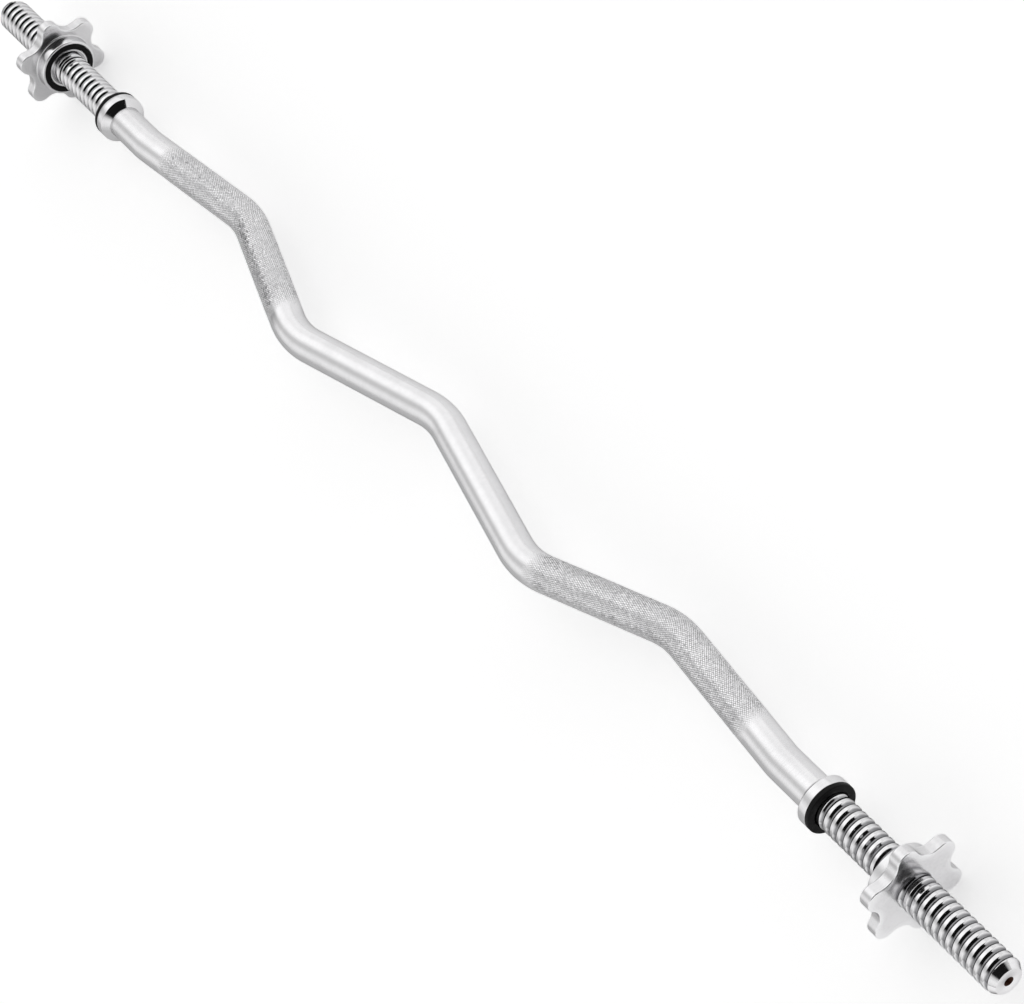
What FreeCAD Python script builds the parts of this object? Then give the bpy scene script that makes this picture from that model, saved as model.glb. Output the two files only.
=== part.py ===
"""EZ curl bar: a bent chrome steel bar with a threaded sleeve, a fixed collar and a star nut at each end.

The bar's centreline lies in one plane and its two sleeves share one axis, the X axis.
The part lies on the floor on two lobes of each star nut, with the bar rolled a little in its nuts.
Right is +X. Every end piece is drawn with its own +X pointing outboard and is turned round for the left end.
"""
import FreeCAD, Part
import Sketcher
import math
import os
import re
from FreeCAD import Placement, Rotation, Vector

doc = FreeCAD.newDocument("ez_curl_bar")

# Driving sizes, in millimetres, degrees and shares of a length
SIZES = {
    # bar: the sleeve runs from the collar's inboard face to the tip
    "overall_length": 1200,
    "sleeve_length": 178.5,
    "bar_diameter": 25,
    "bar_roll": 20,
    "end_bevel_length": 5,
    "end_bevel_depth": 3,
    "centre_hole_diameter": 6.5,
    "centre_hole_angle": 60,
    # bends: corners of the unrounded centreline, each a share of the way from the middle to the collar
    "sleeve_corner_share": 0.9181,
    "outer_corner_share": 0.6192,
    "inner_corner_share": 0.34,
    "outer_rise": 12.2,
    "inner_drop": 25.3,
    "centre_rise": 6.9,
    "bend_radius": 65,
    # coarse thread with open flanks, right-handed at both ends
    "thread_pitch": 6.35,
    "thread_depth": 1.5,
    "thread_root_width": 1.1,
    "thread_flank": 42,
    "thread_play": 0.4,
    "thread_overcut": 0.5,
    # fixed collar, its rubber washer and its spring pin
    "collar_length": 11,
    "collar_wall": 5.5,
    "cone_length": 4.2,
    "cone_depth": 5.2,
    "collar_fit": 0.05,
    "washer_wall": 5.5,
    "washer_thickness": 3.5,
    "washer_fit": 0.3,
    "pin_diameter": 4,
    "pin_wall": 1,
    "pin_slot": 1.2,
    "pin_fit": 0.05,
    "pin_recess": 1,
    # star nut and its rubber ring: each nut's inboard face stands this far from the bar's tip
    "right_nut_distance": 102.5,
    "left_nut_distance": 91.5,
    "lobe_height": 23.5,
    "lobe_radius": 8,
    "valley_radius": 12,
    "plate_thickness": 8.5,
    "hub_wall": 9.5,
    "hub_height": 9.5,
    "hub_edge": 1,
    "mouth_width": 1.8,
    "mouth_depth": 2.2,
    "face_bevel": 1,
    "ring_gap": 3.5,
    "ring_width": 3.8,
    "ring_thickness": 3,
    "ring_proud": 0.5,
    "ring_fit": 0.3,
}
# Worked out from them: the end pieces keep to the tips, the bends spread with the grip,
# and the round pieces keep their walls when the bar's diameter changes
WORKED_OUT = {
    "collar_seat": "overall_length / 2 - sleeve_length",
    "right_nut_seat": "overall_length / 2 - right_nut_distance",
    "left_nut_seat": "overall_length / 2 - left_nut_distance",
    "sleeve_corner": "sleeve_corner_share * collar_seat",
    "outer_corner": "outer_corner_share * collar_seat",
    "inner_corner": "inner_corner_share * collar_seat",
    "collar_diameter": "bar_diameter + 2 * collar_wall",
    "pin_seat": "(cone_length + collar_length) / 2",
    "washer_diameter": "bar_diameter + 2 * washer_wall",
    "lobe_tip_radius": "bar_diameter / 2 + lobe_height",
    "hub_diameter": "bar_diameter + 2 * hub_wall",
    "mouth_diameter": "bar_diameter + 2 * mouth_width",
    "ring_inner_diameter": "bar_diameter + 2 * ring_gap",
    "ring_outer_diameter": "ring_inner_diameter + 2 * ring_width",
}
LOBES = 6

sheet = doc.addObject("Spreadsheet::Sheet", "sizes")
cells = {alias: str(number) for alias, number in SIZES.items()}
cells.update({alias: "=" + words for alias, words in WORKED_OUT.items()})
for row, (alias, content) in enumerate(cells.items(), start=1):
    sheet.set("A%d" % row, alias)
    sheet.setAlias("B%d" % row, alias)
    sheet.set("B%d" % row, content)
doc.recompute()


def formula(words):
    """The same words with the sheet's name in front of every size."""
    return re.sub(r"[a-z]+(_[a-z]+)+", lambda found: "sizes." + found.group(0), words)


def value(words):
    """What a formula comes to now, as a plain number."""
    return float(sheet.evalExpression(formula(words)))


def new_body(name):
    body = doc.addObject("PartDesign::Body", name)
    body.Label = name
    return body


def origin_of(body, role):
    """The body's own origin plane or axis of this role."""
    return next(part for part in body.Origin.OriginFeatures if part.Role == role)


def new_sketch(body, name, plane):
    sketch = body.newObject("Sketcher::SketchObject", name)
    sketch.AttachmentSupport = (origin_of(body, plane), [""])
    sketch.MapMode = "FlatFace"
    return sketch


def bind(sketch, kind, words, *where):
    """Adds a dimension to a sketch and ties it to the sheet."""
    index = sketch.addConstraint(Sketcher.Constraint(kind, *where, value(words)))
    sketch.setExpression("Constraints[%d]" % index, formula(words))


def place_point(sketch, item, end, across, up):
    """Holds one point of a sketch at a place measured from the sketch's origin."""
    bind(sketch, "DistanceX", across, -1, 1, item, end)
    bind(sketch, "DistanceY", up, -1, 1, item, end)


def circle_sketch(body, name, plane, centre, *diameters):
    """Circles round one centre, with the centre and the diameters given as formulas."""
    sketch = new_sketch(body, name, plane)
    across, up = centre
    middle = Vector(value(across), value(up), 0)
    for words in diameters:
        item = sketch.addGeometry(Part.Circle(middle, Vector(0, 0, 1), value(words) / 2), False)
        place_point(sketch, item, 3, across, up)
        bind(sketch, "Diameter", words, item)
    return sketch


def outline_sketch(body, name, plane, points):
    """A closed outline of straight lines, with its corners given as pairs of formulas."""
    sketch = new_sketch(body, name, plane)
    corners = [Vector(value(across), value(up), 0) for across, up in points]
    for start, end in zip(corners, corners[1:] + corners[:1]):
        sketch.addGeometry(Part.LineSegment(start, end), False)
    for item in range(len(points)):
        sketch.addConstraint(Sketcher.Constraint("Coincident", item, 2, (item + 1) % len(points), 1))
    for item, (across, up) in enumerate(points):
        place_point(sketch, item, 1, across, up)
    return sketch


def feature(body, kind, name, sketch, **settings):
    """A solid feature made from a sketch. A length given as words is tied to the sheet."""
    made = body.newObject("PartDesign::" + kind, name)
    made.Profile = sketch
    sketch.Visibility = False
    for setting, given in settings.items():
        if isinstance(given, str) and setting in ("Length", "Pitch", "Height"):
            made.setExpression(setting, formula(given))
        else:
            setattr(made, setting, given)
    return made


def turned(body, kind, name, sketch):
    """A full turn of a sketch about the body's X axis, added or cut away."""
    axis = (origin_of(body, "X_Axis"), [""])
    return feature(body, kind, name, sketch, ReferenceAxis=axis, Angle=360)


def helix_cut(body, name, sketch, height, inward):
    """A right-handed thread cut along the body's X axis."""
    axis = (origin_of(body, "X_Axis"), [""])
    return feature(body, "SubtractiveHelix", name, sketch, ReferenceAxis=axis, Mode="pitch-height-angle",
                   Pitch="thread_pitch", Height=height, LeftHanded=False, Reversed=inward)


def edge_names(shape, wanted):
    """Names of the edges that the test accepts."""
    return ["Edge%d" % (k + 1) for k, edge in enumerate(shape.Edges) if wanted(edge)]


# Bar: one bent solid round bar, drawn in its own frame with the bends in the XY plane
def bend_arc(behind, here, ahead, radius):
    """The arc that rounds a corner, with its first and last point in the order of travel."""
    into = (here - behind).normalize()
    out = (ahead - here).normalize()
    half_turn = into.getAngle(out) / 2
    side = 1 if into.cross(out).z > 0 else -1
    first = here - into * radius * math.tan(half_turn)
    last = here + out * radius * math.tan(half_turn)
    centre = first + Vector(-into.y, into.x, 0) * radius * side
    return first, last, centre, side


def centreline_sketch(body):
    """Right half of the centreline: four bends and four straight runs from the middle out to the tip."""
    corners = [
        ("0", "centre_rise"),
        ("inner_corner", "-inner_drop"),
        ("outer_corner", "outer_rise"),
        ("sleeve_corner", "0"),
    ]
    tip = ("overall_length / 2", "0")
    sketch = new_sketch(body, "centreline", "XY_Plane")
    points = [Vector(value(across), value(up), 0) for across, up in corners + [tip]]
    radius = value("bend_radius")
    arcs = []
    for k, here in enumerate(points[:-1]):
        ahead = points[k + 1]
        behind = points[k - 1] if k else Vector(-ahead.x, ahead.y, 0)
        first, last, centre, side = bend_arc(behind, here, ahead, radius)
        if k == 0:
            first = centre + Vector(0, -side * radius, 0)
        arcs.append((first, last, centre, side))
    previous = None
    for k, (first, last, centre, side) in enumerate(arcs):
        runs_to = arcs[k + 1][0] if k + 1 < len(arcs) else points[-1]
        start, end = (first, last) if side > 0 else (last, first)
        angles = [math.atan2(p.y - centre.y, p.x - centre.x) for p in (start, end)]
        circle = Part.Circle(centre, Vector(0, 0, 1), radius)
        arc = sketch.addGeometry(Part.ArcOfCircle(circle, *angles), False)
        run = sketch.addGeometry(Part.LineSegment(last, runs_to), False)
        entry, leave = (1, 2) if side > 0 else (2, 1)
        if previous is None:
            sketch.addConstraint(Sketcher.Constraint("PointOnObject", arc, entry, -2))
            sketch.addConstraint(Sketcher.Constraint("PointOnObject", arc, 3, -2))
        else:
            sketch.addConstraint(Sketcher.Constraint("Tangent", previous, 2, arc, entry))
        sketch.addConstraint(Sketcher.Constraint("Tangent", arc, leave, run, 1))
        bind(sketch, "Radius", "bend_radius", arc)
        corner = sketch.addGeometry(Part.Point(points[k]), True)
        place_point(sketch, corner, 1, *corners[k])
        if previous is not None:
            sketch.addConstraint(Sketcher.Constraint("PointOnObject", corner, 1, previous))
        sketch.addConstraint(Sketcher.Constraint("PointOnObject", corner, 1, run))
        previous = run
    place_point(sketch, previous, 2, *tip)
    return sketch


def thread_groove(side):
    """Section of the bar's thread groove, on the sleeve's +Y side at the right and -Y side at the left."""
    root = "(bar_diameter / 2 - thread_depth)"
    top = "(bar_diameter / 2 + thread_overcut)"
    start = "(collar_seat + collar_length)"
    half_root = "thread_root_width / 2"
    half_top = "(thread_root_width / 2 + (thread_depth + thread_overcut) * tan(thread_flank))"
    places = [
        (start + " - " + half_root, root),
        (start + " + " + half_root, root),
        (start + " + " + half_top, top),
        (start + " - " + half_top, top),
    ]
    sign = "" if side > 0 else "-1 * "
    return [(sign + "(" + along + ")", sign + out) for along, out in places]


def build_bar():
    body = new_body("bar")
    path = centreline_sketch(body)
    rise = "centre_rise - bend_radius * (1 / cos(atan((centre_rise + inner_drop) / inner_corner)) - 1)"
    section = circle_sketch(body, "bar_section", "YZ_Plane", (rise, "0"), "bar_diameter")
    feature(body, "AdditivePipe", "bent_half", section, Spine=(path, [""]), Mode="Standard")
    doc.recompute()

    beyond = "bar_diameter / 2 + thread_overcut"
    wedge = outline_sketch(body, "end_bevel_section", "XY_Plane", [
        ("overall_length / 2", "bar_diameter / 2 - end_bevel_depth"),
        ("overall_length / 2", beyond),
        ("overall_length / 2 - end_bevel_length * (1 + thread_overcut / end_bevel_depth)", beyond),
    ])
    turned(body, "Groove", "end_bevel", wedge)

    cone = outline_sketch(body, "centre_hole_section", "XY_Plane", [
        ("overall_length / 2", "0"),
        ("overall_length / 2", "centre_hole_diameter / 2"),
        ("overall_length / 2 - centre_hole_diameter / 2 / tan(centre_hole_angle / 2)", "0"),
    ])
    turned(body, "Groove", "centre_hole", cone)

    pin_place = ("collar_seat + pin_seat", "0")
    hole = circle_sketch(body, "pin_hole_section", "XY_Plane", pin_place, "pin_diameter + 2 * pin_fit")
    feature(body, "Pocket", "pin_hole", hole, Type="ThroughAll")

    whole = body.newObject("PartDesign::Mirrored", "both_halves")
    whole.TransformMode = "Whole shape"
    whole.MirrorPlane = (origin_of(body, "YZ_Plane"), [""])
    body.Tip = whole
    doc.recompute()

    height = "overall_length / 2 - collar_seat - collar_length + thread_pitch"
    for name, side in (("right_thread", 1), ("left_thread", -1)):
        groove = outline_sketch(body, name + "_section", "XY_Plane", thread_groove(side))
        helix_cut(body, name, groove, height, side < 0)
    return body


# Fixed collar: a plain steel ring coned on its inboard side, pinned to the bar
def build_collar(side_name):
    body = new_body(side_name + "_inner_collar")
    bore = "bar_diameter / 2 + collar_fit"
    section = outline_sketch(body, side_name + "_collar_section", "XY_Plane", [
        ("0", bore),
        ("collar_length", bore),
        ("collar_length", "collar_diameter / 2"),
        ("cone_length", "collar_diameter / 2"),
        ("0", "collar_diameter / 2 - cone_depth"),
    ])
    turned(body, "Revolution", side_name + "_collar_turning", section)

    hole = circle_sketch(body, side_name + "_collar_hole_section", "XY_Plane", ("pin_seat", "0"),
                         "pin_diameter + 2 * pin_fit")
    feature(body, "Pocket", side_name + "_collar_hole", hole, Type="ThroughAll")
    return body


def ring_outline(start, end, inner, outer):
    """Half section of a plain ring about the X axis."""
    return [(start, inner), (end, inner), (end, outer), (start, outer)]


def build_washer(side_name):
    body = new_body(side_name + "_collar_ring")
    section = outline_sketch(body, side_name + "_washer_section", "XY_Plane",
                             ring_outline("0", "washer_thickness", "bar_diameter / 2 + washer_fit",
                                          "washer_diameter / 2"))
    turned(body, "Revolution", side_name + "_washer", section)
    return body


def build_pin(side_name):
    """Slotted spring pin, driven up from below through the collar to the bar's axis."""
    body = new_body(side_name + "_collar_pin")
    section = circle_sketch(body, side_name + "_pin_section", "XY_Plane", ("0", "0"),
                            "pin_diameter", "pin_diameter - 2 * pin_wall")
    feature(body, "Pad", side_name + "_pin_tube", section,
            Length="collar_diameter / 2 - pin_recess", Reversed=True)
    slot = outline_sketch(body, side_name + "_pin_slot_section", "XY_Plane", [
        ("0", "-pin_slot / 2"),
        ("pin_diameter", "-pin_slot / 2"),
        ("pin_diameter", "pin_slot / 2"),
        ("0", "pin_slot / 2"),
    ])
    feature(body, "Pocket", side_name + "_pin_slot", slot, Type="ThroughAll")
    return body


# Star nut: a six-lobed plate with a hub on its inboard side, bored and threaded to run on the sleeve
def star_sketch(body, name):
    """Round lobes joined by round valleys, each arc running smoothly into the next."""
    sketch = new_sketch(body, name, "YZ_Plane")
    sketch.setExpression("AttachmentOffset.Base.z", formula("hub_height"))
    step = 2 * math.pi / LOBES
    lobe_radius = value("lobe_radius")
    valley_radius = value("valley_radius")
    reach = value("lobe_tip_radius - lobe_radius")
    valley_reach = reach * math.cos(step / 2)
    valley_reach += math.sqrt((lobe_radius + valley_radius) ** 2 - (reach * math.sin(step / 2)) ** 2)
    lobes = [Vector(reach * math.cos(k * step), reach * math.sin(k * step), 0) for k in range(LOBES)]
    valleys = []
    for k in range(LOBES):
        turn = (k + 0.5) * step
        valleys.append(Vector(valley_reach * math.cos(turn), valley_reach * math.sin(turn), 0))

    def arc(centre, radius, start_towards, end_towards):
        angles = [math.atan2(p.y - centre.y, p.x - centre.x) for p in (start_towards, end_towards)]
        circle = Part.Circle(centre, Vector(0, 0, 1), radius)
        return sketch.addGeometry(Part.ArcOfCircle(circle, *angles), False)

    lobe_arcs = [arc(lobes[k], lobe_radius, valleys[k - 1], valleys[k]) for k in range(LOBES)]
    valley_arcs = [arc(valleys[k], valley_radius, lobes[(k + 1) % LOBES], lobes[k]) for k in range(LOBES)]
    for k in range(LOBES):
        angle = 360 / LOBES * k
        across = "(lobe_tip_radius - lobe_radius) * cos(%g)" % angle
        up = "(lobe_tip_radius - lobe_radius) * sin(%g)" % angle
        place_point(sketch, lobe_arcs[k], 3, across, up)
        bind(sketch, "Radius", "lobe_radius", lobe_arcs[k])
        bind(sketch, "Radius", "valley_radius", valley_arcs[k])
        following = lobe_arcs[(k + 1) % LOBES]
        sketch.addConstraint(Sketcher.Constraint("Tangent", lobe_arcs[k], 2, valley_arcs[k], 2))
        sketch.addConstraint(Sketcher.Constraint("Tangent", valley_arcs[k], 1, following, 1))
    return sketch


def nut_channel(side_name):
    """Section of the channel that takes the bar's thread crest, clear of it all round.

    The bar lies rolled in its nuts, so the channel is moved along the axis until the threads mesh.
    """
    bore = "(bar_diameter / 2 - thread_depth + thread_play)"
    inner = bore + " - thread_overcut"
    outer = "(bar_diameter / 2 + thread_play)"
    roll = "+" if side_name == "right" else "-"
    crest = "(collar_seat + collar_length + thread_pitch / 2 %s thread_pitch * bar_roll / 360)" % roll
    centre = "mod(%s - %s_nut_seat; thread_pitch) - 2 * thread_pitch" % (crest, side_name)

    def half_width(radius):
        from_root = "(%s - bar_diameter / 2 + thread_depth)" % radius
        groove = "(thread_root_width / 2 + %s * tan(thread_flank))" % from_root
        return "(thread_pitch / 2 - %s + thread_play)" % groove

    return [
        (centre + " - " + half_width(inner), inner),
        (centre + " + " + half_width(inner), inner),
        (centre + " + " + half_width(outer), outer),
        (centre + " - " + half_width(outer), outer),
    ]


def build_star_nut(side_name):
    body = new_body(side_name + "_star_nut")
    star = star_sketch(body, side_name + "_star_outline")
    feature(body, "Pad", side_name + "_star_plate", star, Length="plate_thickness")
    disc = circle_sketch(body, side_name + "_hub_section", "YZ_Plane", ("0", "0"), "hub_diameter")
    hub = feature(body, "Pad", side_name + "_hub", disc, Length="hub_height")
    doc.recompute()

    rims = edge_names(hub.Shape, lambda edge: edge.BoundBox.XMax < 0.001)
    bevel = body.newObject("PartDesign::Chamfer", side_name + "_hub_bevel")
    bevel.Base = (hub, rims)
    bevel.setExpression("Size", formula("hub_edge"))

    seat = outline_sketch(body, side_name + "_ring_seat_section", "XY_Plane",
                          ring_outline("0", "ring_thickness - ring_proud",
                                       "ring_inner_diameter / 2 - ring_fit",
                                       "ring_outer_diameter / 2 + ring_fit"))
    turned(body, "Groove", side_name + "_ring_seat", seat)

    bore = "bar_diameter / 2 - thread_depth + thread_play"
    depth = "hub_height + plate_thickness"
    mouth = outline_sketch(body, side_name + "_bore_section", "XY_Plane", [
        ("0", "0"),
        ("0", "mouth_diameter / 2"),
        ("mouth_depth", bore),
        (depth + " - face_bevel", bore),
        (depth, bore + " + face_bevel"),
        (depth, "0"),
    ])
    turned(body, "Groove", side_name + "_bore", mouth)
    doc.recompute()

    channel = outline_sketch(body, side_name + "_channel_section", "XY_Plane", nut_channel(side_name))
    helix_cut(body, side_name + "_nut_thread", channel, depth + " + 4 * thread_pitch", False)
    return body


def build_nut_ring(side_name):
    body = new_body(side_name + "_nut_ring")
    section = outline_sketch(body, side_name + "_nut_ring_section", "XY_Plane",
                             ring_outline("-ring_proud", "ring_thickness - ring_proud",
                                          "ring_inner_diameter / 2", "ring_outer_diameter / 2"))
    turned(body, "Revolution", side_name + "_nut_ring_turning", section)
    return body


# Assembly: everything on one axis, at the height that puts two lobes of each star nut on the floor
def place(body, along, rotation):
    """Sets a piece on the bar's axis, a given way along it."""
    height = "(lobe_tip_radius - lobe_radius) * cos(%g) + lobe_radius" % (180 / LOBES)
    body.Placement = Placement(Vector(0, 0, 0), rotation)
    body.setExpression("Placement.Base.x", formula(along))
    body.setExpression("Placement.Base.z", formula(height))
    return body


rolled = Rotation(Vector(1, 0, 0), -value("bar_roll"))
pieces = [place(build_bar(), "0", rolled)]
for side_name, sign, facing in (
    ("right", "", Rotation()),
    ("left", "-1 * ", Rotation(Vector(0, 0, 1), 180)),
):
    on_bar = rolled.multiply(facing)
    seat = sign + "collar_seat"
    pieces += [
        place(build_collar(side_name), seat, on_bar),
        place(build_pin(side_name), sign + "(collar_seat + pin_seat)", on_bar),
        place(build_washer(side_name), sign + "(collar_seat + collar_length)", on_bar),
        place(build_star_nut(side_name), sign + side_name + "_nut_seat", facing),
        place(build_nut_ring(side_name), sign + side_name + "_nut_seat", facing),
    ]
doc.recompute()

# Files: one for each piece, written only when every feature and every solid is sound
for item in doc.Objects:
    if "Invalid" in item.State or "Error" in item.State:
        raise RuntimeError("%s failed: %s" % (item.Name, item.State))
for body in pieces:
    shape = body.Shape
    if shape.isNull() or not shape.isValid() or len(shape.Solids) != 1:
        raise RuntimeError("%s isn't one sound solid" % body.Label)
os.makedirs("parts", exist_ok=True)
for body in pieces:
    body.Shape.exportStep(os.path.join("parts", body.Label + ".step"))
    print("%-20s %9.1f mm3" % (body.Label, body.Shape.Volume))
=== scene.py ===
"""Curl bar, dressed: bent satin chrome bar, knurled grips, cut threads, star nuts and black rubber.

Sizes are in millimetres in each piece's own frame, and a piece is scaled to metres when it is placed.
"""

import math

import bmesh
import bpy
import numpy as np
from mathutils import Matrix, Vector


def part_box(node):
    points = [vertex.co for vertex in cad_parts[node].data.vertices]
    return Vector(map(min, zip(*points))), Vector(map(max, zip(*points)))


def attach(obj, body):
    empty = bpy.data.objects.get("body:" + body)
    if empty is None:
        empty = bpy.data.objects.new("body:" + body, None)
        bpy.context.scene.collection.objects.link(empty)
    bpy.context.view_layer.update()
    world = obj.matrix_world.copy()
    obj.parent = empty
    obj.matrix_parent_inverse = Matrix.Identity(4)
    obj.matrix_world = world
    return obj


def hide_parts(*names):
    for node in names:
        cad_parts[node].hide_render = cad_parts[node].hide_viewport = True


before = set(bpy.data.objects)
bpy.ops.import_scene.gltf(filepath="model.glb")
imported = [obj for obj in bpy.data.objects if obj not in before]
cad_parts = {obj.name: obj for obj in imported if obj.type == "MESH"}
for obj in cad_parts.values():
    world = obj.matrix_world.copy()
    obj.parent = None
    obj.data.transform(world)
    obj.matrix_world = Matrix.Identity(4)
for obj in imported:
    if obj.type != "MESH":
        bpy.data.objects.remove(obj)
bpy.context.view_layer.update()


# Smooth lengths of the bar: the middle between the grips and a short neck beside each collar.
# One round steel bar, bent cold into a shallow zigzag, ground, polished and chrome plated.
MILLIMETRE = 0.001
BAR_RADIUS = 12.5
BAR_ROLL = math.radians(-20)
BEND_RADIUS = 65
BAR_CORNERS = [(-600, 0), (-387, 0), (-261, 12.2), (-143.3, -25.3), (0, 6.9),
               (143.3, -25.3), (261, 12.2), (387, 0), (600, 0)]
RIGHT_GRIP = (150, 361)
LEFT_GRIP = (-358, -162)
SLEEVE_START = 421.5
AROUND_BAR = 96
STRAIGHT_STEP = 6
FEWEST_BEND_STEPS = 8
END_STEPS = 40
CLOSEST_ROWS = 0.5
MERGE = 0.002
SMUDGE_SIZE = 0.045
SMUDGE_SHARE = 0.55
STREAK_SHARE = 0.45
SPECK_HEIGHT = -0.8
MARK_STRENGTH = 0.35
GRAZING_TINT = (0.75, 0.75, 0.75, 1)

ring_low, ring_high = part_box("right_nut_ring")
axis_height = (ring_low.z + ring_high.z) / 2
on_axis = Matrix.Translation((0, 0, axis_height)) @ Matrix.Scale(MILLIMETRE, 4)
on_bar = on_axis @ Matrix.Rotation(BAR_ROLL, 4, "X")


def bent_centreline():
    """Close points along the bar's rounded centreline: length from the left tip, x, y and heading."""
    corners = [Vector(corner) for corner in BAR_CORNERS]
    points = [corners[0]]
    for behind, here, ahead in zip(corners, corners[1:], corners[2:]):
        into = (here - behind).normalized()
        out = (ahead - here).normalized()
        turn = -into.angle_signed(out)
        setback = BEND_RADIUS * math.tan(abs(turn) / 2)
        side = math.copysign(1, turn)
        first = here - into * setback
        centre = first + Vector((-into.y, into.x)) * BEND_RADIUS * side
        start = points[-1].copy()
        count = max(2, int((first - start).length / STRAIGHT_STEP))
        points += [start.lerp(first, k / count) for k in range(1, count)]
        steps = max(FEWEST_BEND_STEPS, int(math.degrees(abs(turn))))
        for k in range(steps + 1):
            spoke = first - centre
            spoke.rotate(Matrix.Rotation(turn * k / steps, 2))
            points.append(centre + spoke)
    start = points[-1].copy()
    points += [start.lerp(corners[-1], k / END_STEPS) for k in range(1, END_STEPS + 1)]
    xy = np.array(points)
    length = np.concatenate([[0], np.cumsum(np.hypot(*np.diff(xy, axis=0).T))])
    heading = np.arctan2(np.gradient(xy[:, 1], length), np.gradient(xy[:, 0], length))
    return length, xy[:, 0], xy[:, 1], heading


LENGTH, LINE_X, LINE_Y, HEADING = bent_centreline()


def bent(along, radius, angle):
    """Places on the bent bar for points given on the straight bar that it was bent from."""
    x = np.interp(along, LENGTH, LINE_X)
    y = np.interp(along, LENGTH, LINE_Y)
    heading = np.interp(along, LENGTH, HEADING)
    out = radius * np.cos(angle)
    return np.stack([x - np.sin(heading) * out, y + np.cos(heading) * out, radius * np.sin(angle)], -1)


def straight(along, radius, angle):
    """The same points on a straight axis."""
    return np.stack(np.broadcast_arrays(along, radius * np.cos(angle), radius * np.sin(angle)), -1)


def skin(name, rows, place, lay=None, marks=None, sharp=32):
    """A closed mesh over rows of points. A row whose points coincide closes an end.

    lay holds the points' places before the bar was bent, and marks holds named values for the
    finish. Edges that turn by more than the angle sharp, in degrees, stay sharp.
    """
    rows = np.asarray(rows, float)
    count, across = rows.shape[:2]
    grid = np.arange(count * across).reshape(count, across)
    quads = np.stack([grid[:-1, :-1], grid[:-1, 1:], grid[1:, 1:], grid[1:, :-1]], -1)
    mesh = bpy.data.meshes.new(name)
    mesh.from_pydata(rows.reshape(-1, 3).tolist(), [], quads.reshape(-1, 4).tolist())
    store(mesh, "lay", rows if lay is None else lay)
    for mark, values in (marks or {}).items():
        store(mesh, mark, values)
    return finish_mesh(name, mesh, place, sharp)


def store(mesh, name, values):
    """Keeps a number or a vector with each point of a mesh."""
    values = np.asarray(values, float)
    vector = values.shape[-1] == 3 and values.size == 3 * len(mesh.vertices)
    layer = mesh.attributes.new(name, "FLOAT_VECTOR" if vector else "FLOAT", "POINT")
    layer.data.foreach_set("vector" if vector else "value", values.ravel().astype(np.float32))


def finish_mesh(name, mesh, place, sharp):
    """Joins the seams of a mesh, turns its faces outwards and puts it in its place."""
    work = bmesh.new()
    work.from_mesh(mesh)
    bmesh.ops.remove_doubles(work, verts=work.verts, dist=MERGE)
    bmesh.ops.dissolve_degenerate(work, edges=work.edges, dist=MERGE / 10)
    bmesh.ops.recalc_face_normals(work, faces=work.faces)
    work.to_mesh(mesh)
    work.free()
    mesh.transform(place)
    if sharp:
        mesh.polygons.foreach_set("use_smooth", [True] * len(mesh.polygons))
        mesh.set_sharp_from_angle(angle=math.radians(sharp))
    mesh.update()
    piece = bpy.data.objects.new(name, mesh)
    bpy.context.scene.collection.objects.link(piece)
    return piece


def fit(piece, body, node, material):
    """Puts a piece on its body in the place of its solid, with its finish."""
    piece.data.materials.clear()
    piece.data.materials.append(material)
    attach(piece, body)
    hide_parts(node)


def add(tree, kind, settings=None, **values):
    """Adds a shader node. A value is a number, a colour or another node's output, by input name."""
    made = tree.nodes.new("ShaderNode" + kind)
    for name, setting in (settings or {}).items():
        setattr(made, name, setting)
    for name, given in values.items():
        connect(tree, made.inputs[name.replace("_", " ")], given)
    return made


def connect(tree, socket, given):
    """Links another node's output to a socket, or sets a constant on the socket itself."""
    if isinstance(given, bpy.types.NodeSocket):
        tree.links.new(given, socket)
    else:
        socket.default_value = given


def calc(tree, operation, *given):
    """The result of a sum on values."""
    made = tree.nodes.new("ShaderNodeMath")
    made.operation = operation
    for socket, value in zip(made.inputs, given):
        connect(tree, socket, value)
    return made.outputs[0]


def spread(tree, value, low=0.0, high=1.0, to_low=0.0, to_high=1.0):
    """A value stretched from one range to another, held at the ends."""
    made = add(tree, "MapRange", Value=value, From_Min=low, From_Max=high,
               To_Min=to_low, To_Max=to_high)
    return made.outputs[0]


def tint(tree, factor, first, second):
    """A colour between two others. The mix node's colour sockets come after its other kinds."""
    made = tree.nodes.new("ShaderNodeMix")
    made.data_type = "RGBA"
    connect(tree, made.inputs[0], factor)
    connect(tree, made.inputs[6], first)
    connect(tree, made.inputs[7], second)
    return made.outputs[2]


def new_group(name, inputs, outputs):
    """An empty effect with named inputs and outputs."""
    tree = bpy.data.node_groups.new(name, "ShaderNodeTree")
    for label, kind in inputs:
        tree.interface.new_socket(label, in_out="INPUT", socket_type="NodeSocket" + kind)
    for label in outputs:
        tree.interface.new_socket(label, in_out="OUTPUT", socket_type="NodeSocketFloat")
    return tree, tree.nodes.new("NodeGroupInput"), tree.nodes.new("NodeGroupOutput")


def polishing_marks():
    """Fine streaks left by polishing or turning, stretched along or around the axis."""
    tree, enter, leave = new_group(
        "polishing_marks", [("Lay", "Vector"), ("Along", "Float"), ("Around", "Float")], ["Streaks"])
    around = enter.outputs["Around"]
    scale = add(tree, "CombineXYZ", X=enter.outputs["Along"], Y=around, Z=around)
    place = tree.nodes.new("ShaderNodeVectorMath")
    place.operation = "MULTIPLY"
    connect(tree, place.inputs[0], enter.outputs["Lay"])
    connect(tree, place.inputs[1], scale.outputs[0])
    noise = add(tree, "TexNoise", Vector=place.outputs[0], Scale=1.0, Detail=4.0, Roughness=0.65)
    connect(tree, leave.inputs["Streaks"], spread(tree, noise.outputs[0], low=0.3, high=0.7))
    return tree


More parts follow.
